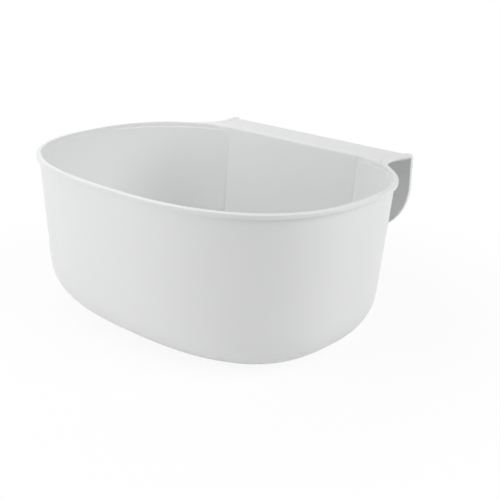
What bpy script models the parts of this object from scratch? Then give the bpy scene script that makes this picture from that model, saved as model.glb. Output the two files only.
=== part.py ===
"""Hanging feed bucket: an oval tub with a flat back and a broad hook that drops over a rail or door.

Metres, +Z up, front towards -Y. The origin lies on the floor, under the middle of the bucket's box.
The bucket is one moulding, divided here into its walls, rim and hook, with a fine seam between them.
"""
import math

import bmesh
import bpy
from mathutils import Vector

# Overall sizes, hook included
WIDTH = 0.215
DEPTH = 0.175
HEIGHT = 0.090

# Tub: the plan is a squarish oval with a flat panel across the back, and the floor sits a little forward
WALL = 0.0016
DRAFT = math.radians(4.7)
LEAN = math.radians(2.0)
HEEL_RADIUS = 0.029
HEEL_TOE = 0.003
PANEL_WIDTH = 0.1025
WIDEST_FROM_FRONT = 0.079
FRONT_SQUARENESS = 2.52
BACK_SQUARENESS = 2.46

# Rim lip, which turns out along the ends of the hook as a raised bead
LIP_OVERHANG = 0.0015
LIP_HEIGHT = 0.0021
LIP_ROOT = 0.0013
LIP_CHAMFER = 0.0005

# Hook: a bridge behind the back panel and a plate that drops from it
HOOK_WIDTH = 0.142
HOOK_REACH = 0.0258
HOOK_DROP = 0.052
HOOK_CORNER = 0.0325
HOOK_PLATE = 0.0023
BEND_RADIUS = 0.003
SHOULDER_SETBACK = 0.001
SHOULDER_FILLET = 0.009
BRIDGE_TIP = 0.0015

# Gap between neighbouring pieces
SEAM = 0.0003

# Where the oval wall is divided, as turns of its own angle
FRONT_SPAN = math.radians(45)
CORNER_SPAN = math.radians(6)

# Facets
OVAL_STEP = math.radians(3.75)
HEEL_STEPS = 8
FILLET_STEPS = 6
BEND_STEPS = 5
CORNER_STEPS = 10
SHARP_ANGLE = math.radians(30)
BISECTIONS = 60
WELD = 0.00001

# Finish of the plastic
PLASTIC_COLOUR = (0.80, 0.81, 0.81, 1.0)
PLASTIC_ROUGHNESS = 0.5

# Places worked out from the sizes
FRONT_Y = -DEPTH / 2
REAR_Y = DEPTH / 2
PANEL_Y = REAR_Y - HOOK_REACH
WIDEST_Y = FRONT_Y + WIDEST_FROM_FRONT
HALF_WIDTH = WIDTH / 2 - LIP_OVERHANG
FRONT_HALF_DEPTH = WIDEST_FROM_FRONT - LIP_OVERHANG
PANEL_SHARE = (PANEL_WIDTH / 2 / HALF_WIDTH) ** BACK_SQUARENESS
BACK_HALF_DEPTH = (PANEL_Y - WIDEST_Y) / (1 - PANEL_SHARE) ** (1 / BACK_SQUARENESS)
CREASE_ANGLE = math.acos(math.sqrt(PANEL_SHARE))
SEAT_Z = HEIGHT - LIP_HEIGHT - LIP_ROOT
HEEL_TOP_Z = HEEL_RADIUS * (1 - math.sin(DRAFT))
HEEL_INSET = (SEAT_Z - HEEL_TOP_Z) * math.tan(DRAFT) + HEEL_RADIUS * math.cos(DRAFT)
TOE_INSET = HEEL_INSET + HEEL_TOE
BEND_Y = REAR_Y - BEND_RADIUS
BRIDGE_END_Y = BEND_Y - HOOK_PLATE
BRIDGE_TOP_Z = SEAT_Z + HOOK_PLATE
HOOK_ROOT = Vector((HOOK_WIDTH / 2 - LIP_OVERHANG, PANEL_Y + SHOULDER_SETBACK))


class Station:
    """A place on the tub's outer outline at the rim, with the way out from it."""

    def __init__(self, point, outward):
        self.point = Vector(point)
        self.outward = Vector(outward)

    def moved(self, distance):
        """The same place, moved along the outline, counter-clockwise seen from above."""
        along = Vector((-self.outward.y, self.outward.x)).normalized()
        return Station(self.point + along * distance, self.outward)

    def mirrored(self):
        return Station((-self.point.x, self.point.y), (-self.outward.x, self.outward.y))

    def inset(self, distance):
        return self.point - self.outward * distance

    def at(self, distance, height):
        return self.inset(distance).to_3d() + Vector((0, 0, height))


def signed_power(value, exponent):
    return math.copysign(abs(value) ** exponent, value)


def oval(angle):
    """Station of the oval; angle 0 is the right side and -90 degrees the front."""
    behind = math.sin(angle) > 0
    squareness = BACK_SQUARENESS if behind else FRONT_SQUARENESS
    half_depth = BACK_HALF_DEPTH if behind else FRONT_HALF_DEPTH
    across = signed_power(math.cos(angle), 2 / squareness)
    along = signed_power(math.sin(angle), 2 / squareness)
    outward = Vector((signed_power(across, squareness - 1) / HALF_WIDTH,
                      signed_power(along, squareness - 1) / half_depth))
    return Station((HALF_WIDTH * across, WIDEST_Y + half_depth * along), outward.normalized())


def oval_steps(start, stop):
    return math.ceil((stop - start) / OVAL_STEP)


def oval_run(start, stop, steps):
    """Stations of the oval from one angle to another, evenly spaced."""
    return [oval(start + (stop - start) * step / steps) for step in range(steps + 1)]


def seamed(stations):
    """The same run, drawn in by half a seam at both ends."""
    return [stations[0].moved(SEAM / 2), *stations[1:-1], stations[-1].moved(-SEAM / 2)]


def mirror_run(stations):
    return [station.mirrored() for station in reversed(stations)]


def bisect(function, low, high):
    """Where a function that rises from low to high passes zero."""
    for _ in range(BISECTIONS):
        middle = (low + high) / 2
        if function(middle) < 0:
            low = middle
        else:
            high = middle
    return (low + high) / 2


def meeting_angle(inset):
    """Angle of the oval where it meets the back panel, both drawn in by an inset."""
    def passed(angle):
        return oval(angle).inset(inset).y - (PANEL_Y - inset)

    return bisect(passed, 0.0, CREASE_ANGLE)


def tub_runs(inset):
    """Runs of stations round the tub, which meet at the creases when they are drawn in by an inset."""
    front = -math.pi / 2
    side = front + FRONT_SPAN
    crease = meeting_angle(inset)
    front_run = oval_run(front - FRONT_SPAN, side, oval_steps(front - FRONT_SPAN, side))
    right_run = oval_run(side, crease - CORNER_SPAN, oval_steps(side, CREASE_ANGLE - CORNER_SPAN))
    right_corner = [oval(crease - CORNER_SPAN), oval(crease)]
    back_run = right_corner + mirror_run(right_corner)
    return {"front": front_run, "right": right_run, "back": back_run, "left": mirror_run(right_run)}


def drawn_in(height):
    """How far the drafted wall lies inside the rim's outline at a height."""
    return (SEAT_Z - height) * math.tan(DRAFT)


def leaned(height):
    """How far forward the tub lies at a height."""
    return Vector((0, -(SEAT_Z - height) * math.tan(LEAN), 0))


def heel_profile():
    """Heel of the tub from its flat toe up to the wall, as (inset, height) pairs."""
    profile = [(TOE_INSET, 0)]
    for step in range(HEEL_STEPS + 1):
        angle = math.pi / 2 + (DRAFT - math.pi / 2) * step / HEEL_STEPS
        profile.append((HEEL_INSET - HEEL_RADIUS * math.cos(angle), HEEL_RADIUS * (1 - math.sin(angle))))
    top = HEEL_RADIUS - SEAM / 2
    profile.append((drawn_in(top), top))
    return profile


def wall_profile():
    """Straight wall from the heel up to the seat of the rim."""
    bottom = HEEL_RADIUS + SEAM / 2
    top = SEAT_Z - SEAM
    return [(drawn_in(bottom), bottom), (drawn_in(top), top)]


def lip_profile():
    """Section of the rim lip and its root on the wall, as (inset, height) pairs, eased along the top."""
    outer = -LIP_OVERHANG
    under = HEIGHT - LIP_HEIGHT
    shoulder = HEIGHT - LIP_CHAMFER
    return [(outer, under), (0, under), (0, SEAT_Z), (WALL, SEAT_Z), (WALL, shoulder),
            (WALL - LIP_CHAMFER, HEIGHT), (outer + LIP_CHAMFER, HEIGHT), (outer, shoulder)]


def plastic(name):
    material = bpy.data.materials.new(name + "_plastic")
    material.use_nodes = True
    shader = material.node_tree.nodes["Principled BSDF"]
    shader.inputs["Base Color"].default_value = PLASTIC_COLOUR
    shader.inputs["Roughness"].default_value = PLASTIC_ROUGHNESS
    shader.inputs["Metallic"].default_value = 0.0
    return material


def add_piece(name, data, bucket):
    """Object for a piece, in the bucket's collection and under its empty."""
    piece = bpy.data.objects.new(name, data)
    data.materials.append(plastic(name))
    bpy.data.collections[bucket.name].objects.link(piece)
    piece.parent = bucket
    return piece


def mesh_from(name, bm):
    mesh = bpy.data.meshes.new(name)
    bm.to_mesh(mesh)
    bm.free()
    mesh.shade_smooth()
    mesh.set_sharp_from_angle(angle=SHARP_ANGLE)
    return mesh


def thicken(piece, thickness):
    """Give an open surface its thickness, on the side away from its normals."""
    solidify = piece.modifiers.new("thickness", "SOLIDIFY")
    solidify.thickness = thickness
    solidify.offset = -1
    solidify.use_even_offset = True


def sheet_mesh(rows):
    """Grid through rows of points that run right as seen from outside, lowest row first."""
    columns = len(rows[0]) - 1
    bm = bmesh.new()
    bmesh.ops.create_grid(bm, x_segments=columns, y_segments=len(rows) - 1, size=1)
    for vert in bm.verts:
        row = rows[round((vert.co.y + 1) / 2 * (len(rows) - 1))]
        vert.co = row[round((vert.co.x + 1) / 2 * columns)]
    return bm


def add_shell(name, side, profile, bucket):
    """One side's stretch of the tub, with the tub's thickness."""
    rows = []
    for inset, height in profile:
        stations = seamed(tub_runs(inset)[side])
        rows.append([station.at(inset, height) + leaned(height) for station in stations])
    piece = add_piece(name, mesh_from(name, sheet_mesh(rows)), bucket)
    thicken(piece, WALL)


def add_plate(name, outline, bottom_z, thickness, bucket):
    """Flat plate with a given outline in plan."""
    curve = bpy.data.curves.new(name, "CURVE")
    curve.dimensions = "2D"
    curve.fill_mode = "BOTH"
    curve.extrude = thickness / 2
    spline = curve.splines.new("POLY")
    spline.points.add(len(outline) - 1)
    for place, point in zip(spline.points, outline):
        place.co = (point.x, point.y, 0, 1)
    spline.use_cyclic_u = True
    piece = add_piece(name, curve, bucket)
    piece.location.z = bottom_z + thickness / 2


def add_floor_plate(bucket):
    inset = TOE_INSET + SEAM
    forward = leaned(0).to_2d()
    outline = [station.inset(inset) + forward for run in tub_runs(inset).values() for station in run[:-1]]
    add_plate("floor_plate", outline, 0, WALL, bucket)


def add_rail(name, stations, bucket):
    """The lip's section carried along a run of stations, closed at both ends."""
    profile = lip_profile()
    bm = sheet_mesh([[station.at(*corner) for station in stations] for corner in profile + profile[:1]])
    bmesh.ops.remove_doubles(bm, verts=bm.verts, dist=WELD)
    bmesh.ops.holes_fill(bm, edges=bm.edges)
    bmesh.ops.recalc_face_normals(bm, faces=bm.faces)
    add_piece(name, mesh_from(name, bm), bucket)


def add_rim_lip(bucket):
    """Lip round the front and sides, as far as the hook's shoulders."""
    front = -math.pi / 2
    leaving = leaving_angle()
    right = oval_run(front, 0, oval_steps(front, 0))[:-1] + oval_run(0, leaving, oval_steps(0, leaving))
    add_rail("rim_lip", seamed(mirror_run(right)[:-1] + right), bucket)


def leaving_angle():
    """Angle of the oval where a straight line to the hook's root leaves it."""
    def passed(angle):
        station = oval(angle)
        return station.outward.dot(HOOK_ROOT - station.point)

    return bisect(passed, 0.0, CREASE_ANGLE)


def shoulder_run():
    """Right-hand path of the bead: off the oval, round the shoulder and back along the hook's end."""
    leaving = oval(leaving_angle())
    turn = math.atan2(leaving.outward.y, leaving.outward.x)
    towards_root = (HOOK_ROOT - leaving.point).normalized()
    start = HOOK_ROOT - towards_root * SHOULDER_FILLET * math.tan(turn / 2)
    centre = start + leaving.outward * SHOULDER_FILLET
    run = [leaving]
    for step in range(FILLET_STEPS + 1):
        angle = turn * (1 - step / FILLET_STEPS)
        outward = Vector((math.cos(angle), math.sin(angle)))
        run.append(Station(centre - outward * SHOULDER_FILLET, outward))
    run.append(Station((HOOK_ROOT.x, BRIDGE_END_Y - SEAM / 2), (1, 0)))
    return run


def bridge_outline():
    """Right half of the bridge's outline, from the crease out to the shoulder and back to the bend."""
    bead = shoulder_run()
    leaving = bead[0]
    edge = WALL + SEAM

    def spare_width(angle):
        return leaving.outward.dot(leaving.inset(edge) - oval(angle).inset(WALL)) - BRIDGE_TIP

    tip_angle = bisect(spare_width, leaving_angle(), CREASE_ANGLE)
    crease = meeting_angle(WALL)
    wall_side = [station.inset(WALL) for station in oval_run(tip_angle, crease, oval_steps(tip_angle, crease))]
    tip = wall_side[0] + leaving.outward * BRIDGE_TIP
    bead_side = [station.inset(edge) for station in bead[1:-1]]
    rear = Vector((bead[-1].inset(edge).x, BRIDGE_END_Y - SEAM))
    return [*reversed(wall_side), tip, *bead_side, rear]


def add_hook_bridge(bucket):
    right = bridge_outline()
    left = [Vector((-point.x, point.y)) for point in reversed(right)]
    add_plate("hook_bridge", right + left, SEAT_Z, HOOK_PLATE, bucket)


def add_hook_drop_plate(bucket):
    """Plate that turns down from the bridge, with broadly rounded lower corners."""
    bottom_z = HEIGHT - HOOK_DROP
    bend_z = BRIDGE_TOP_Z - BEND_RADIUS
    corner = min(HOOK_CORNER, bend_z - bottom_z - SEAM)
    rows = []
    for step in range(CORNER_STEPS + 1):
        angle = math.pi / 2 * (1 - step / CORNER_STEPS)
        half_width = HOOK_WIDTH / 2 - corner * (1 - math.cos(angle))
        rows.append((half_width, REAR_Y, bottom_z + corner * (1 - math.sin(angle))))
    for step in range(BEND_STEPS + 1):
        angle = math.pi / 2 * step / BEND_STEPS
        rows.append((HOOK_WIDTH / 2, BEND_Y + BEND_RADIUS * math.cos(angle),
                     bend_z + BEND_RADIUS * math.sin(angle)))
    rows.append((HOOK_WIDTH / 2, BRIDGE_END_Y, BRIDGE_TOP_Z))
    bm = sheet_mesh([[Vector((half, y, z)), Vector((-half, y, z))] for half, y, z in rows])
    piece = add_piece("hook_drop_plate", mesh_from("hook_drop_plate", bm), bucket)
    thicken(piece, HOOK_PLATE)


def new_bucket():
    """Collection for the pieces and the empty that carries them."""
    for item in list(bpy.data.objects):
        bpy.data.objects.remove(item, do_unlink=True)
    collection = bpy.data.collections.new("feed_bucket")
    bpy.context.scene.collection.children.link(collection)
    bucket = bpy.data.objects.new("feed_bucket", None)
    collection.objects.link(bucket)
    return bucket


def main():
    bucket = new_bucket()
    for side in ("front", "right", "back", "left"):
        add_shell(side + "_heel", side, heel_profile(), bucket)
        add_shell(side + "_wall", side, wall_profile(), bucket)
    add_floor_plate(bucket)
    add_rim_lip(bucket)
    bead = shoulder_run()
    add_rail("right_hook_bead", seamed(bead), bucket)
    add_rail("left_hook_bead", seamed(mirror_run(bead)), bucket)
    add_hook_bridge(bucket)
    add_hook_drop_plate(bucket)


if __name__ == "__main__":
    main()
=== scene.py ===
"""Hanging feed bucket: one pale moulding with a lipped rim and a broad hook, on a plain studio floor.

Metres, +Z up, front towards -Y. The moulding is worked out on its right-hand side and mirrored.
"""
import math

import bmesh
import bpy
from bpy.props import FloatProperty, FloatVectorProperty, PointerProperty
from mathutils import Matrix, Vector


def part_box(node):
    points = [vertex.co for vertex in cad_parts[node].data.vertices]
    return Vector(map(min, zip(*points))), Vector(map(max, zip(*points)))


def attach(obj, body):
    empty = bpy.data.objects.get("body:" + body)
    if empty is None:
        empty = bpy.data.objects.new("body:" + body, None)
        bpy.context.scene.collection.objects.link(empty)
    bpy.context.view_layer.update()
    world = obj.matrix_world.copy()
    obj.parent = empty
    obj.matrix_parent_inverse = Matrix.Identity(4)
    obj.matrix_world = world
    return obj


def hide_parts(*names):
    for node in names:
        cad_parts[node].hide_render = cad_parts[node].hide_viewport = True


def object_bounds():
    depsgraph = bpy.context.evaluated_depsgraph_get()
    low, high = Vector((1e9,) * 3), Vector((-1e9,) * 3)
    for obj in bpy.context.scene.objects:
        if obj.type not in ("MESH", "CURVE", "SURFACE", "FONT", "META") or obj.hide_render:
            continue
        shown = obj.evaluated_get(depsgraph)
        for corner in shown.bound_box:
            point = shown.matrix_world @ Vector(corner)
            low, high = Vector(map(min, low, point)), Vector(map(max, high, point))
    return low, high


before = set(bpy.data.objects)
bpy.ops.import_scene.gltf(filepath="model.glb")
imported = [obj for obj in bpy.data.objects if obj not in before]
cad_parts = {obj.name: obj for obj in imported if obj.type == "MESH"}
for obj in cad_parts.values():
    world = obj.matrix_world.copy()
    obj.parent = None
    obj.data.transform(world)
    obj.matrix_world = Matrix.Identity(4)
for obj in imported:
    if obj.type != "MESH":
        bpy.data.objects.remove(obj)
CAD_LOW, CAD_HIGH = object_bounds()

bl_info = {
    "name": "Hanging feed bucket",
    "version": (1, 0, 0),
    "blender": (4, 5, 0),
    "location": "View3D > Sidebar > Bucket",
    "description": "Moulds the hanging feed bucket and sets its studio",
    "category": "Object",
}

# Corners of the solids that the moulding takes its sizes from
PLATE_LOW, PLATE_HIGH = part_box("hook_drop_plate")
BRIDGE_LOW, BRIDGE_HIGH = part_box("hook_bridge")

# Facets of the moulding
FLOOR_STEPS = 5
HEEL_STEPS = 14
WALL_STEPS = 7
TURN_STEPS = 7
RIM_STEPS = 64
LINE_STEPS = 12
HOLLOW_STEPS = 16
END_STEPS = 5
CREASE_STEPS = 12
PANEL_STEPS = 14
DECK_STEPS = 6
BEND_STEPS = 8
SIDE_STEPS = 6
ARC_STEPS = 16
RAMP_STEPS = 5
CROWN_STEPS = 5
ROUND_STEPS = 3
CORNER_STEPS = LINE_STEPS + HOLLOW_STEPS + END_STEPS - CREASE_STEPS
SHARP_ANGLE = math.radians(40)
BISECTIONS = 60
WELD = 0.000002

# Refraction of the plastic, and how fine its clouds and its grain are
PLASTIC_IOR = 1.49
FLOW_DETAIL = 2.0
GRAIN_DETAIL = 3.0

# Studio, with each softbox's azimuth and elevation in degrees, its distance and its size
FLOOR_RADIUS = 8.0
FLOOR_SEGMENTS = 96
SENSOR_MILLIMETRES = 36.0
SOFTBOXES = {
    "front_softbox": (-20, 22, 0.75, 0.6),
    "right_softbox": (110, 33, 1.3, 1.0),
    "left_softbox": (-40, 60, 0.5, 0.4),
    "back_softbox": (-110, 50, 0.5, 0.4),
}

UP = Vector((0, 0, 1))
BACK = Vector((0, 1, 0))
RIGHT = Vector((1, 0, 0))


def length(name, description, default):
    return FloatProperty(name=name, description=description, default=default, min=0.0, precision=4,
                         unit="LENGTH")


def turn(name, description, degrees):
    return FloatProperty(name=name, description=description, default=math.radians(degrees),
                         subtype="ANGLE")


def share(name, description, default):
    return FloatProperty(name=name, description=description, default=default, min=0.0, max=1.0,
                         subtype="FACTOR")


def amount(name, description, default):
    return FloatProperty(name=name, description=description, default=default, min=0.0)


def power(name, description, watts):
    return FloatProperty(name=name, description=description, default=watts, min=0.0, unit="POWER")


def colour(name, description, default):
    return FloatVectorProperty(name=name, description=description, default=default, size=3,
                               min=0.0, max=1.0, subtype="COLOR")


def place(name, description, default):
    return FloatVectorProperty(name=name, description=description, default=default, size=3,
                               subtype="TRANSLATION", unit="LENGTH")


class BucketSizes(bpy.types.PropertyGroup):
    """Sizes of the moulding"""

    width: length("Width", "Over the lip, side to side", CAD_HIGH.x - CAD_LOW.x)
    depth: length("Depth", "From the front lip to the back of the hook", CAD_HIGH.y - CAD_LOW.y)
    height: length("Height", "From the floor to the top of the rim", CAD_HIGH.z - CAD_LOW.z)
    wall: length("Wall", "Thickness of the tub", 0.0016)
    draft: turn("Draft", "Slope of the wall, so that it leaves the mould", 4.45)
    lean: turn("Lean", "How far the whole tub leans back", 1.9)
    heel_radius: length("Heel radius", "Round between the floor and the wall", 0.029)
    panel_width: length("Back panel width", "Flat back, from crease to crease", 0.1025)
    crease_radius: length("Crease radius", "Outer round where the side meets the flat back", 0.0060)
    crease_line: length("Crease line", "Depth of the line inside the crease, at the wall's foot", 0.0005)
    widest_from_front: length("Widest place", "From the front lip to the oval's widest place", 0.079)
    front_squareness: amount("Front squareness", "Fullness of the oval's front; 2 is an ellipse", 2.52)
    back_squareness: amount("Back squareness", "Fullness of the oval's back; 2 is an ellipse", 2.46)
    lip_overhang: length("Lip overhang", "How far the lip stands out from the wall", 0.0015)
    lip_height: length("Lip height", "From the top of the rim down to the lip's lower edge", 0.0025)
    lip_taper: length("Lip taper", "How much lower the root of the lip is than its edge", 0.0003)
    lip_slope: turn("Lip slope", "How steeply the top of the rim falls outwards", 5)
    lip_crown: length("Lip crown", "Round on the lip's upper edge and on the plate's back edge", 0.0005)
    lip_round: length("Lip round", "Round on the lip's lower edge and on the plate's front edge", 0.0004)
    hook_width: length("Hook width", "Over the ends of the hook", PLATE_HIGH.x - PLATE_LOW.x)
    hook_reach: length("Hook reach", "From the back panel to the back of the hook", 0.0258)
    hook_drop: length("Hook drop", "From the rim down to the end of the plate", CAD_HIGH.z - PLATE_LOW.z)
    hook_plate: length("Hook plate", "Thickness of the hook", BRIDGE_HIGH.z - BRIDGE_LOW.z)
    hook_corner: length("Hook corner", "Round on the lower corners of the plate", 0.0325)
    bend_radius: length("Bend radius", "Outer round where the hook turns down", 0.003)
    shoulder_radius: length("Shoulder radius", "Hollow round between the rim and the hook's end", 0.026)
    shoulder_flare: turn("Shoulder flare", "How far the hook's end spreads towards the back", 22)
    end_radius: length("End radius", "Round that turns the flare straight where the hook bends", 0.008)
    bead_rise: length("Bead rise", "How far the bead stands above the hook", CAD_HIGH.z - BRIDGE_HIGH.z)
    bead_foot: length("Bead foot", "From the root of the lip in to the foot of the bead", 0.0026)
    bead_end: share("Bead end", "Share of the rise that is left where the hook bends", 0.75)
    bead_crest: share("Bead crest", "Where the bead is highest, from the lip's root in to its foot", 0.5)
    rim_crest: share("Rim crest", "Where the rim is highest, from the lip's root in to its foot", 0.9)
    rim_round: length("Rim round", "Round from the inside of the tub up on to the rim", 0.0003)
    rim_band: length("Rim band", "Height of the upright band inside the rim", 0.0027)
    rim_step: length("Rim step", "How far that band is set back from the inside of the wall", 0.0005)
    rim_tuck: length("Rim tuck", "How much further back the foot of that band is set", 0.0003)
    rim_ledge: length("Rim ledge", "How far the ledge under that band rises towards it", 0.0003)
    deck_round: length("Deck round", "Round from the inside of the tub up on to the hook", 0.0016)
    deck_fall: length("Deck fall", "How much lower the hook lies at its bend than at the tub", 0.0010)
    under_round: length("Under round", "Hollow round under the hook", 0.0017)
    bead_opening: length("Bead opening", "Width of the shoulder where the bead has its full rise", 0.007)
    round_opening: length("Round opening", "Width of the shoulder where the hook's rounds are full", 0.016)


class BucketFinish(bpy.types.PropertyGroup):
    """Finish of the plastic"""

    pale: colour("Pale", "Main colour of the plastic", (0.81, 0.82, 0.814))
    deep: colour("Deep", "Colour where the plastic flowed together", (0.795, 0.805, 0.799))
    smooth: share("Smooth", "Roughness where the mould was polished most", 0.44)
    matte: share("Matte", "Roughness where the mould was polished least", 0.54)
    flow_size: length("Flow size", "Size of the cloudy places in the plastic", 0.040)
    grain_size: length("Grain size", "Size of the fine grain of the mould", 0.0007)
    grain_depth: length("Grain depth", "Depth of the fine grain of the mould", 0.00002)
    grain_strength: share("Grain strength", "How strongly the grain shows", 0.25)


class StudioLooks(bpy.types.PropertyGroup):
    """Floor, light and camera"""

    floor_colour: colour("Floor", "Colour of the floor", (0.96, 0.96, 0.96))
    backdrop: colour("Backdrop", "Colour of what lies behind the bucket", (1.0, 1.0, 1.0))
    floor_glow: share("Floor glow", "Share of the backdrop's colour that is seen in the floor", 0.90)
    floor_near: length("Floor near", "From the bucket's middle to where that share starts to grow", 0.08)
    floor_far: length("Floor far", "From the bucket's middle to where the floor meets the backdrop", 0.26)
    dome: amount("Dome", "Strength of the light from all round", 0.10)
    front_softbox: power("Front softbox", "Large softbox low on the left of the camera", 2.50)
    right_softbox: power("Right softbox", "Largest softbox, on the right of the camera", 11.4)
    left_softbox: power("Left softbox", "Small softbox high on the left", 0.70)
    back_softbox: power("Back softbox", "Small softbox high behind the left side", 0.55)
    azimuth: turn("Azimuth", "Where the camera stands, from the front towards the right", 45.30)
    elevation: turn("Elevation", "How high the camera stands", 19.36)
    distance: length("Distance", "From the camera to the aim", 0.53419)
    aim: place("Aim", "Point that the camera is placed from", (0.0, -0.0139, 0.045))
    pan: turn("Pan", "How far the camera is turned to the right of the aim", 2.778)
    tilt: turn("Tilt", "How far the camera is tilted up from the aim", -0.774)
    lens: FloatProperty(name="Lens", description="Focal length in millimetres", default=67.04,
                        unit="CAMERA")


def spaced(start, stop, steps):
    """Evenly spaced values from start to stop, both included."""
    return [start + (stop - start) * step / steps for step in range(steps + 1)]


def eased(value):
    """Smooth step from 0 to 1, level at both ends."""
    value = min(max(value, 0.0), 1.0)
    return value * value * (3 - 2 * value)


def signed_power(value, exponent):
    return math.copysign(abs(value) ** exponent, value)


def bisect(function, low, high):
    """Where a function that rises from low to high passes zero."""
    for _ in range(BISECTIONS):
        middle = (low + high) / 2
        if function(middle) < 0:
            low = middle
        else:
            high = middle
    return (low + high) / 2


def heading(angle):
    return Vector((math.cos(angle), math.sin(angle)))


class Station:
    """A place on an outline in plan, with the way out from it."""

    def __init__(self, point, outward):
        self.point = Vector(point)
        self.outward = Vector(outward)

    def inset(self, distance):
        return Station(self.point - self.outward * distance, self.outward)


class EdgeStation:
    """A place along the free edge: the feet of its two faces, its way out and up, and its section."""

    def __init__(self, foot_top, foot_under, outward, up):
        self.foot_top = foot_top
        self.foot_under = foot_under
        self.outward = outward
        self.up = up

    def set_heights(self, rise, lower, thickness):
        """How far the bead rises above the top face, where the outer face ends, and the thickness."""
        self.rise = rise
        self.lower = lower
        self.thickness = thickness

    def set_bead(self, foot, crest, slope):
        """From the lip's root in to the bead's foot and crest, and how steeply its top falls outwards."""
        self.foot = foot
        self.crest = crest
        self.slope = slope

    def at(self, inward, height):
        """Point so far in from the root of the lip, and so far above the top face."""
        return self.foot_top + self.outward * (self.foot - inward) + self.up * height

    def section(self, overhang, crown, edge_round, taper):
        """Points from the top face over the bead and round the edge to the underside."""
        points = [self.foot_top]
        for part in spaced(0, 1, RAMP_STEPS)[1:]:
            points.append(self.at(self.foot + (self.crest - self.foot) * part, self.rise * eased(part)))
        run = self.crest + overhang - crown * (1 - math.sin(self.slope))
        middle = self.rise - run * math.tan(self.slope) - crown * math.cos(self.slope)
        for angle in spaced(math.pi / 2 - self.slope, 0, CROWN_STEPS):
            points.append(self.at(crown * (1 - math.cos(angle)) - overhang,
                                  middle + crown * math.sin(angle)))
        inner = edge_round - overhang
        for angle in spaced(0, -math.pi / 2, ROUND_STEPS):
            points.append(self.at(inner - edge_round * math.cos(angle),
                                  self.lower + edge_round + edge_round * math.sin(angle)))
        root = max(self.lower - taper, -self.thickness)
        points += [self.at(0, root), self.at(0, -self.thickness), self.foot_under]
        return points


class TubFace:
    """One face of the tub: its rows up to the foot of the straight wall, and the wall's upper line."""

    def __init__(self, form, gap, crease_line):
        sizes = form.sizes
        radius = sizes.heel_radius - gap
        crease = sizes.crease_radius - gap
        heel = []
        for step, angle in enumerate(spaced(math.pi / 2, sizes.draft, HEEL_STEPS)):
            outline = form.level(form.heel_inset - radius * math.cos(angle), crease)
            height = sizes.heel_radius - radius * math.sin(angle)
            line = crease_line * eased(step / HEEL_STEPS)
            heel.append([form.placed(station.inset(-line * form.in_crease(index)), height)
                         for index, station in enumerate(outline)])
        edge = heel[0]
        middle = Vector((0, (edge[0].y + edge[-1].y) / 2, edge[0].z))
        floor = [[middle.lerp(point, part) for point in edge] for part in spaced(0, 1, FLOOR_STEPS)[:-1]]
        self.rows = floor + heel
        self.foot = heel[-1]
        self.rim = form.level(gap / math.cos(sizes.draft), crease)
        self.top = [form.placed(station, sizes.height) for station in self.rim]

    def wall_at(self, index, height):
        """Point of the straight wall at a height."""
        foot = self.foot[index]
        top = self.top[index]
        return foot.lerp(top, (height - foot.z) / (top.z - foot.z))

    def turn_out(self, index, height, radius):
        """Arc that turns from the wall out to the level way at a height."""
        outward = self.rim[index].outward.to_3d()
        rise = self.top[index] - self.foot[index]
        slope = math.atan2(rise.dot(outward), rise.z)
        reach = radius * math.tan((math.pi / 2 - slope) / 2)
        centre = self.wall_at(index, height) + outward * reach - UP * radius
        return [centre - outward * radius * math.cos(angle) + UP * radius * math.sin(angle)
                for angle in spaced(slope, math.pi / 2, TURN_STEPS)]

    def wall_rows(self, arcs):
        """Rows from the foot of the wall up to the ends of its arcs."""
        columns = []
        for foot, arc in zip(self.foot, arcs):
            columns.append([foot.lerp(arc[0], part) for part in spaced(0, 1, WALL_STEPS)[:-1]] + arc)
        return [list(row) for row in zip(*columns)]


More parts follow.
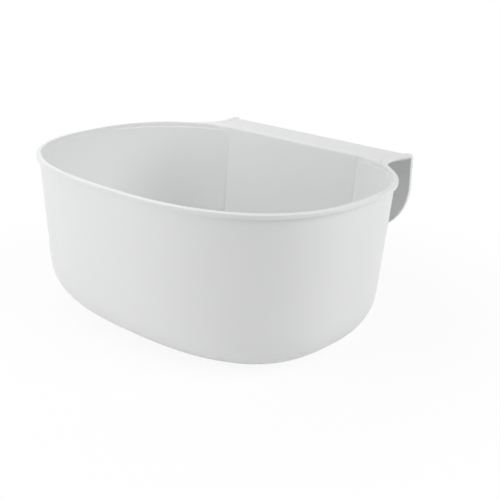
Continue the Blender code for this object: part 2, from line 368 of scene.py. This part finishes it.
class BucketForm:
    """The right-hand half of the bucket's surfaces, worked out from its sizes."""

    def __init__(self, sizes):
        self.sizes = sizes
        self.rear_y = sizes.depth / 2
        self.panel_y = self.rear_y - sizes.hook_reach
        self.widest_y = sizes.widest_from_front - sizes.depth / 2
        self.half_width = sizes.width / 2 - sizes.lip_overhang
        self.front_half_depth = sizes.widest_from_front - sizes.lip_overhang
        panel_share = (sizes.panel_width / 2 / self.half_width) ** sizes.back_squareness
        back_share = (1 - panel_share) ** (1 / sizes.back_squareness)
        self.back_half_depth = (self.panel_y - self.widest_y) / back_share
        self.crease_angle = math.acos(math.sqrt(panel_share))
        heel_top = sizes.heel_radius * (1 - math.sin(sizes.draft))
        self.heel_inset = ((sizes.height - heel_top) * math.tan(sizes.draft)
                           + sizes.heel_radius * math.cos(sizes.draft))
        self.deck_z = sizes.height - sizes.bead_rise
        self.bend_y = self.rear_y - sizes.bend_radius
        self.hook_side = sizes.hook_width / 2 - sizes.lip_overhang
        self.end_centre = Vector((self.hook_side - sizes.end_radius, self.bend_y))
        self.hollow_centre = (self.end_centre + heading(-sizes.shoulder_flare)
                              * (sizes.end_radius + sizes.shoulder_radius))
        self.leaving = self.leaving_angle()
        self.inner = TubFace(self, sizes.wall, sizes.crease_line)
        self.outer = TubFace(self, 0.0, 0.0)
        self.leave = RIM_STEPS
        self.corner = RIM_STEPS + CORNER_STEPS + CREASE_STEPS
        self.last = self.corner + PANEL_STEPS
        self.path = self.outer.rim[:self.leave + 1] + self.shoulder()
        self.inner_arcs = [self.inner_arc(index) for index in range(self.last + 1)]
        self.outer_arcs = [self.outer.turn_out(index, self.under_height(index), self.under_round(index))
                           for index in range(self.last + 1)]

    def oval(self, angle):
        """Station of the rim's oval; angle 0 is the right side and -90 degrees the front."""
        behind = math.sin(angle) > 0
        squareness = self.sizes.back_squareness if behind else self.sizes.front_squareness
        half_depth = self.back_half_depth if behind else self.front_half_depth
        across = signed_power(math.cos(angle), 2 / squareness)
        along = signed_power(math.sin(angle), 2 / squareness)
        outward = Vector((signed_power(across, squareness - 1) / self.half_width,
                          signed_power(along, squareness - 1) / half_depth))
        point = (self.half_width * across, self.widest_y + half_depth * along)
        return Station(point, outward.normalized())

    def leaving_angle(self):
        """Angle of the oval where a straight line to the shoulder's hollow leaves it."""
        def passed(angle):
            station = self.oval(angle)
            return station.outward.dot(self.hollow_centre - station.point) - self.sizes.shoulder_radius

        return bisect(passed, 0.0, self.crease_angle)

    def meeting_angle(self, inset):
        """Angle of the oval where it meets the back panel, both drawn in by an inset."""
        def passed(angle):
            return self.oval(angle).inset(inset).point.y - (self.panel_y - inset)

        return bisect(passed, 0.0, self.crease_angle)

    def level(self, inset, radius):
        """Outline drawn in by an inset, from the front's middle to the back's, its crease rounded."""
        meeting = self.meeting_angle(inset + radius)
        angles = spaced(-math.pi / 2, self.leaving, RIM_STEPS)
        angles += spaced(self.leaving, meeting, CORNER_STEPS)[1:]
        stations = [self.oval(angle).inset(inset) for angle in angles]
        last = self.oval(meeting)
        centre = last.inset(inset + radius).point
        start = math.atan2(last.outward.y, last.outward.x)
        for angle in spaced(start, math.pi / 2, CREASE_STEPS)[1:]:
            stations.append(Station(centre + heading(angle) * radius, heading(angle)))
        for x in spaced(centre.x, 0, PANEL_STEPS)[1:]:
            stations.append(Station((x, self.panel_y - inset), (0, 1)))
        return stations

    def in_crease(self, index):
        """From 0 beside the crease to 1 in its middle."""
        across = (index - RIM_STEPS - CORNER_STEPS) / CREASE_STEPS
        return eased(1 - abs(2 * across - 1))

    def placed(self, station, height):
        """Point of the tub at a height, with the tub's lean."""
        forward = (self.sizes.height - height) * math.tan(self.sizes.lean)
        return Vector((station.point.x, station.point.y - forward, height))

    def shoulder(self):
        """Path of the bead after the oval: straight, round the hollow and out to the hook's bend."""
        sizes = self.sizes
        leaving = self.oval(self.leaving)
        turning = math.atan2(leaving.outward.y, leaving.outward.x)
        hollow = [Station(self.hollow_centre - heading(angle) * sizes.shoulder_radius, heading(angle))
                  for angle in spaced(turning, -sizes.shoulder_flare, HOLLOW_STEPS)]
        line = [Station(leaving.point.lerp(hollow[0].point, part), leaving.outward)
                for part in spaced(0, 1, LINE_STEPS)[1:]]
        end = [Station(self.end_centre + heading(angle) * sizes.end_radius, heading(angle))
               for angle in spaced(-sizes.shoulder_flare, 0, END_STEPS)[1:]]
        return line + hollow[1:] + end

    def opening(self, index, full):
        """From 0 on the plain rim to 1 where the hook's shoulder has its full width."""
        if index > self.corner:
            return 1.0
        station = self.path[index]
        return eased((station.point - self.outer.rim[index].point).dot(station.outward) / full)

    def deck_height(self, index):
        return self.sizes.height - self.sizes.bead_rise * self.opening(index, self.sizes.bead_opening)

    def under_height(self, index):
        lip = self.sizes.height - self.sizes.lip_height - self.sizes.lip_taper
        opened = self.opening(index, self.sizes.bead_opening)
        return lip + (self.deck_z - self.sizes.hook_plate - lip) * opened

    def inner_round(self, index):
        sizes = self.sizes
        opened = self.opening(index, sizes.round_opening)
        return sizes.rim_round + (sizes.deck_round - sizes.rim_round) * opened

    def inner_arc(self, index):
        """Points up the wall, over the ledge, up the band inside the rim and on to the rim or the hook."""
        sizes = self.sizes
        top = self.deck_height(index) + sizes.deck_fall * self.opening(index, sizes.bead_opening)
        foot = sizes.height - sizes.rim_band
        outward = self.inner.rim[index].outward.to_3d() * (1 - self.opening(index, sizes.round_opening))
        below = self.inner.wall_at(index, foot - 2 * sizes.rim_ledge)
        ledge = self.inner.wall_at(index, foot - sizes.rim_ledge)
        tucked = self.inner.wall_at(index, foot) + outward * (sizes.rim_step + sizes.rim_tuck)
        arc = self.inner.turn_out(index, top, self.inner_round(index))
        return [below, ledge, tucked] + [point + outward * sizes.rim_step for point in arc]

    def under_round(self, index):
        return self.sizes.under_round * self.opening(index, self.sizes.round_opening)

    def plate_rows(self, depth):
        """Half width, y and z down one face of the hook, from its bend to the plate's lower foot."""
        sizes = self.sizes
        side = self.hook_side - sizes.bead_foot
        bend = sizes.bend_radius - depth
        bend_z = self.deck_z - sizes.bend_radius
        arc_x = sizes.hook_width / 2 - sizes.hook_corner
        arc_z = sizes.height - sizes.hook_drop + sizes.hook_corner
        arc = side - arc_x
        rows = [(side, self.bend_y + bend * math.sin(angle), bend_z + bend * math.cos(angle))
                for angle in spaced(0, math.pi / 2, BEND_STEPS)]
        rows += [(side, self.rear_y - depth, z) for z in spaced(bend_z, arc_z, SIDE_STEPS)[1:]]
        rows += [(arc_x + arc * math.cos(angle), self.rear_y - depth, arc_z - arc * math.sin(angle))
                 for angle in spaced(0, math.pi / 2, ARC_STEPS)[1:]]
        return rows

    def plate_sheet(self, depth):
        return [[Vector((half * part, y, z)) for part in spaced(1, 0, PANEL_STEPS)]
                for half, y, z in self.plate_rows(depth)]

    def rim_edge(self):
        """Stations of the free edge along the rim, round the shoulder and out along the hook's end."""
        sizes = self.sizes
        edge = []
        for index in range(self.corner + 1):
            station = self.path[index]
            outward = station.outward.to_3d()
            deck = self.deck_height(index)
            under = self.under_height(index)
            rise = (sizes.height - deck) * self.bead_fade(index)
            root = station.point.to_3d()
            opened = self.opening(index, sizes.bead_opening)
            if index > self.leave:
                rim_foot = edge[self.leave].foot
                foot = rim_foot + (sizes.bead_foot - rim_foot) * opened
                foot_top = root - outward * foot + UP * deck
                foot_under = root - outward * sizes.bead_foot * opened + UP * under
            else:
                foot_top = self.inner_arcs[index][-1]
                foot_under = self.outer_arcs[index][-1]
                foot = (root - foot_top).dot(outward)
            crest = sizes.rim_crest + (sizes.bead_crest - sizes.rim_crest) * opened
            edge_station = EdgeStation(foot_top, foot_under, outward, UP)
            edge_station.set_heights(rise, sizes.height - sizes.lip_height - deck, deck - under)
            edge_station.set_bead(foot, foot * crest, sizes.lip_slope * self.bead_fade(index))
            edge.append(edge_station)
        return edge

    def bead_fade(self, index):
        """Share of the bead's rise that is left along the hook's end."""
        along = (index - (self.corner - END_STEPS)) / END_STEPS
        return 1 - (1 - self.sizes.bead_end) * eased(along)

    def plate_edge(self):
        """Stations of the free edge over the bend, down the plate's side and along its lower end."""
        sizes = self.sizes
        top = self.plate_sheet(0.0)
        under = self.plate_sheet(sizes.hook_plate)
        bend_lower = sizes.lip_height - sizes.bead_rise
        crest = sizes.bead_foot * sizes.bead_crest
        edge = []
        for row in range(1, len(top)):
            bent = min(row / BEND_STEPS, 1.0)
            turned = max(row - BEND_STEPS - SIDE_STEPS, 0) / ARC_STEPS * math.pi / 2
            up = UP * math.cos(bent * math.pi / 2) + BACK * math.sin(bent * math.pi / 2)
            outward = RIGHT * math.cos(turned) - UP * math.sin(turned)
            remaining = sizes.bead_end * (1 - eased(bent))
            lower = -(bend_lower + (sizes.hook_plate - bend_lower) * eased(bent))
            edge_station = EdgeStation(top[row][0], under[row][0], outward, up)
            edge_station.set_heights(sizes.bead_rise * remaining, lower, sizes.hook_plate)
            edge_station.set_bead(sizes.bead_foot, crest, sizes.lip_slope * remaining)
            edge.append(edge_station)
        for foot_top, foot_under in zip(top[-1][1:], under[-1][1:]):
            edge_station = EdgeStation(foot_top, foot_under, -UP, BACK)
            edge_station.set_heights(0.0, -sizes.hook_plate, sizes.hook_plate)
            edge_station.set_bead(sizes.bead_foot, crest, 0.0)
            edge.append(edge_station)
        return edge

    def edge_rows(self, edge):
        """Sections of the free edge at its stations."""
        sizes = self.sizes
        return [edge_station.section(sizes.lip_overhang, sizes.lip_crown, sizes.lip_round, sizes.lip_taper)
                for edge_station in edge]

    def deck_rows(self, arcs, feet, rear_line):
        """Rows of the hook's top or underside, from the tub out to the edge's feet or the bend's line."""
        starts = [arc[-1] for arc in arcs[self.leave:]]
        ends = [arcs[self.leave][-1]] + feet[self.leave + 1:] + rear_line[1:]
        return [[start.lerp(end, part) for start, end in zip(starts, ends)]
                for part in spaced(0, 1, DECK_STEPS)]

    def sheets(self):
        """Every sheet of points that the right-hand half is made of."""
        top_plate = self.plate_sheet(0.0)
        under_plate = self.plate_sheet(self.sizes.hook_plate)
        rim = self.rim_edge()
        feet_top = [edge_station.foot_top for edge_station in rim]
        feet_under = [edge_station.foot_under for edge_station in rim]
        return [
            self.inner.rows,
            self.inner.wall_rows(self.inner_arcs),
            self.outer.rows,
            self.outer.wall_rows(self.outer_arcs),
            self.deck_rows(self.inner_arcs, feet_top, top_plate[0]),
            self.deck_rows(self.outer_arcs, feet_under, under_plate[0]),
            top_plate,
            under_plate,
            self.edge_rows(rim + self.plate_edge()),
        ]


def add_sheet(bm, rows):
    """Quads through rows of points."""
    grid = [[bm.verts.new(point) for point in row] for row in rows]
    for lower, upper in zip(grid, grid[1:]):
        for column in range(len(lower) - 1):
            bm.faces.new((lower[column], lower[column + 1], upper[column + 1], upper[column]))


def moulding_mesh(sizes):
    """Closed mesh of the whole bucket."""
    bm = bmesh.new()
    for rows in BucketForm(sizes).sheets():
        add_sheet(bm, rows)
    bmesh.ops.remove_doubles(bm, verts=bm.verts, dist=WELD)
    bmesh.ops.mirror(bm, geom=bm.verts[:] + bm.edges[:] + bm.faces[:], matrix=Matrix.Identity(4),
                     merge_dist=WELD, axis="X")
    bmesh.ops.recalc_face_normals(bm, faces=bm.faces)
    open_edges = [edge for edge in bm.edges if not edge.is_manifold]
    if open_edges:
        first = open_edges[0].verts[0].co
        raise RuntimeError(f"the moulding has {len(open_edges)} open edges, the first at {first}")
    mesh = bpy.data.meshes.new("bucket_moulding")
    bm.to_mesh(mesh)
    bm.free()
    mesh.shade_smooth()
    mesh.set_sharp_from_angle(angle=SHARP_ANGLE)
    return mesh


def noise(tree, coordinates, size, detail):
    """Noise with features of a real size."""
    node = tree.nodes.new("ShaderNodeTexNoise")
    node.inputs["Scale"].default_value = 1 / size
    node.inputs["Detail"].default_value = detail
    tree.links.new(coordinates, node.inputs["Vector"])
    return node


def moulded_plastic(finish):
    """Satin plastic with faint clouds from the flow in the mould and a fine grain."""
    material = bpy.data.materials.new("white_moulded_plastic")
    material.use_nodes = True
    tree = material.node_tree
    shader = tree.nodes["Principled BSDF"]
    shader.inputs["IOR"].default_value = PLASTIC_IOR
    coordinates = tree.nodes.new("ShaderNodeTexCoord").outputs["Object"]
    flow = noise(tree, coordinates, finish.flow_size, FLOW_DETAIL).outputs["Fac"]
    clouds = tree.nodes.new("ShaderNodeMix")
    clouds.data_type = "RGBA"
    clouds.inputs["A"].default_value = (*finish.deep, 1.0)
    clouds.inputs["B"].default_value = (*finish.pale, 1.0)
    tree.links.new(flow, clouds.inputs["Factor"])
    tree.links.new(clouds.outputs["Result"], shader.inputs["Base Color"])
    polish = tree.nodes.new("ShaderNodeMapRange")
    polish.inputs["To Min"].default_value = finish.smooth
    polish.inputs["To Max"].default_value = finish.matte
    tree.links.new(flow, polish.inputs["Value"])
    tree.links.new(polish.outputs["Result"], shader.inputs["Roughness"])
    grain = tree.nodes.new("ShaderNodeBump")
    grain.inputs["Strength"].default_value = finish.grain_strength
    grain.inputs["Distance"].default_value = finish.grain_depth
    bumps = noise(tree, coordinates, finish.grain_size, GRAIN_DETAIL).outputs["Fac"]
    tree.links.new(bumps, grain.inputs["Height"])
    tree.links.new(grain.outputs["Normal"], shader.inputs["Normal"])
    return material


class BUCKET_OT_moulding(bpy.types.Operator):
    """Mould the bucket, with its rim, bead and hook, as one closed piece"""

    bl_idname = "bucket.moulding"
    bl_label = "Mould bucket"

    def execute(self, context):
        mesh = moulding_mesh(context.scene.bucket_sizes)
        mesh.materials.append(moulded_plastic(context.scene.bucket_finish))
        moulding = bpy.data.objects.new("bucket_moulding", mesh)
        context.scene.collection.objects.link(moulding)
        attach(moulding, "root")
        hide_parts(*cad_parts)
        return {"FINISHED"}


def seen_directly(tree):
    """Socket that is 1 for camera rays and for what shows in gloss and glass, and 0 for other light."""
    path = tree.nodes.new("ShaderNodeLightPath")
    either = path.outputs["Is Camera Ray"]
    for name in ("Is Glossy Ray", "Is Transmission Ray"):
        larger = tree.nodes.new("ShaderNodeMath")
        larger.operation = "MAXIMUM"
        tree.links.new(either, larger.inputs[0])
        tree.links.new(path.outputs[name], larger.inputs[1])
        either = larger.outputs["Value"]
    return either


def pale_floor(looks):
    """Matte floor that is seen to run into the backdrop away from the bucket."""
    material = bpy.data.materials.new("studio_floor")
    material.use_nodes = True
    tree = material.node_tree
    matte = tree.nodes["Principled BSDF"]
    matte.inputs["Base Color"].default_value = (*looks.floor_colour, 1.0)
    matte.inputs["Roughness"].default_value = 1.0
    matte.inputs["Specular IOR Level"].default_value = 0.0
    glow = tree.nodes.new("ShaderNodeEmission")
    glow.inputs["Color"].default_value = (*looks.backdrop, 1.0)
    away = tree.nodes.new("ShaderNodeVectorMath")
    away.operation = "LENGTH"
    tree.links.new(tree.nodes.new("ShaderNodeTexCoord").outputs["Object"], away.inputs[0])
    fade = tree.nodes.new("ShaderNodeMapRange")
    fade.interpolation_type = "SMOOTHSTEP"
    fade.inputs["From Min"].default_value = looks.floor_near
    fade.inputs["From Max"].default_value = looks.floor_far
    fade.inputs["To Min"].default_value = looks.floor_glow
    tree.links.new(away.outputs["Value"], fade.inputs["Value"])
    glow_share = tree.nodes.new("ShaderNodeMath")
    glow_share.operation = "MULTIPLY"
    tree.links.new(seen_directly(tree), glow_share.inputs[0])
    tree.links.new(fade.outputs["Result"], glow_share.inputs[1])
    mix = tree.nodes.new("ShaderNodeMixShader")
    tree.links.new(glow_share.outputs["Value"], mix.inputs["Fac"])
    tree.links.new(matte.outputs["BSDF"], mix.inputs[1])
    tree.links.new(glow.outputs["Emission"], mix.inputs[2])
    tree.links.new(mix.outputs["Shader"], tree.nodes["Material Output"].inputs["Surface"])
    return material


def add_floor(context, looks):
    """Wide pale floor that takes the bucket's shadow."""
    bm = bmesh.new()
    bmesh.ops.create_circle(bm, cap_ends=True, segments=FLOOR_SEGMENTS, radius=FLOOR_RADIUS)
    mesh = bpy.data.meshes.new("studio_floor")
    bm.to_mesh(mesh)
    bm.free()
    mesh.materials.append(pale_floor(looks))
    floor = bpy.data.objects.new("studio_floor", mesh)
    context.scene.collection.objects.link(floor)


def set_world(context, looks):
    """Even light from all round, with the backdrop's colour where it is seen."""
    world = bpy.data.worlds.new("studio_dome")
    world.use_nodes = True
    tree = world.node_tree
    dome = tree.nodes["Background"]
    dome.inputs["Color"].default_value = (1.0, 1.0, 1.0, 1.0)
    dome.inputs["Strength"].default_value = looks.dome
    backdrop = tree.nodes.new("ShaderNodeBackground")
    backdrop.inputs["Color"].default_value = (*looks.backdrop, 1.0)
    mix = tree.nodes.new("ShaderNodeMixShader")
    tree.links.new(seen_directly(tree), mix.inputs["Fac"])
    tree.links.new(dome.outputs["Background"], mix.inputs[1])
    tree.links.new(backdrop.outputs["Background"], mix.inputs[2])
    tree.links.new(mix.outputs["Shader"], tree.nodes["World Output"].inputs["Surface"])
    context.scene.world = world


def facing_in(azimuth, elevation):
    """Turn of a camera or lamp that looks in from an azimuth, front towards right, and an elevation."""
    return Matrix.Rotation(azimuth, 3, "Z") @ Matrix.Rotation(math.pi / 2 - elevation, 3, "X")


def add_softbox(context, name, watts):
    """Square softbox that faces the middle of the bucket."""
    azimuth, elevation, distance, size = SOFTBOXES[name]
    light = bpy.data.lights.new(name, "AREA")
    light.shape = "SQUARE"
    light.size = size
    light.energy = watts
    softbox = bpy.data.objects.new(name, light)
    facing = facing_in(math.radians(azimuth), math.radians(elevation))
    centre = (CAD_LOW + CAD_HIGH) / 2
    softbox.matrix_world = Matrix.Translation(centre + facing.col[2] * distance) @ facing.to_4x4()
    context.scene.collection.objects.link(softbox)


def add_camera(context, looks):
    """Camera at the photograph's viewing angle."""
    data = bpy.data.cameras.new("studio_camera")
    data.sensor_fit = "HORIZONTAL"
    data.sensor_width = SENSOR_MILLIMETRES
    data.lens = looks.lens
    camera = bpy.data.objects.new("studio_camera", data)
    facing = facing_in(looks.azimuth, looks.elevation)
    spot = Vector(looks.aim) + facing.col[2] * looks.distance
    turned = facing @ Matrix.Rotation(-looks.pan, 3, "Y") @ Matrix.Rotation(looks.tilt, 3, "X")
    camera.matrix_world = Matrix.Translation(spot) @ turned.to_4x4()
    context.scene.collection.objects.link(camera)
    context.scene.camera = camera


class BUCKET_OT_stage(bpy.types.Operator):
    """Set the floor, the soft light and the camera"""

    bl_idname = "bucket.stage"
    bl_label = "Set studio"

    def execute(self, context):
        looks = context.scene.bucket_studio
        add_floor(context, looks)
        set_world(context, looks)
        for name in SOFTBOXES:
            add_softbox(context, name, getattr(looks, name))
        add_camera(context, looks)
        context.scene.view_settings.view_transform = "Standard"
        return {"FINISHED"}


class BUCKET_PT_sidebar(bpy.types.Panel):
    """Sizes, finish and studio of the bucket"""

    bl_label = "Hanging feed bucket"
    bl_space_type = "VIEW_3D"
    bl_region_type = "UI"
    bl_category = "Bucket"

    def draw(self, context):
        layout = self.layout
        scene = context.scene
        for settings in (scene.bucket_sizes, scene.bucket_finish, scene.bucket_studio):
            column = layout.column(align=True)
            for name in settings.__annotations__:
                column.prop(settings, name)
        for operator in (BUCKET_OT_moulding, BUCKET_OT_stage):
            layout.operator(operator.bl_idname)


CLASSES = (BucketSizes, BucketFinish, StudioLooks, BUCKET_OT_moulding, BUCKET_OT_stage, BUCKET_PT_sidebar)


def register():
    for item in CLASSES:
        bpy.utils.register_class(item)
    bpy.types.Scene.bucket_sizes = PointerProperty(type=BucketSizes)
    bpy.types.Scene.bucket_finish = PointerProperty(type=BucketFinish)
    bpy.types.Scene.bucket_studio = PointerProperty(type=StudioLooks)


def unregister():
    del bpy.types.Scene.bucket_studio
    del bpy.types.Scene.bucket_finish
    del bpy.types.Scene.bucket_sizes
    for item in reversed(CLASSES):
        bpy.utils.unregister_class(item)


def main():
    register()
    bpy.ops.bucket.moulding()
    bpy.ops.bucket.stage()


if __name__ == "__main__":
    main()
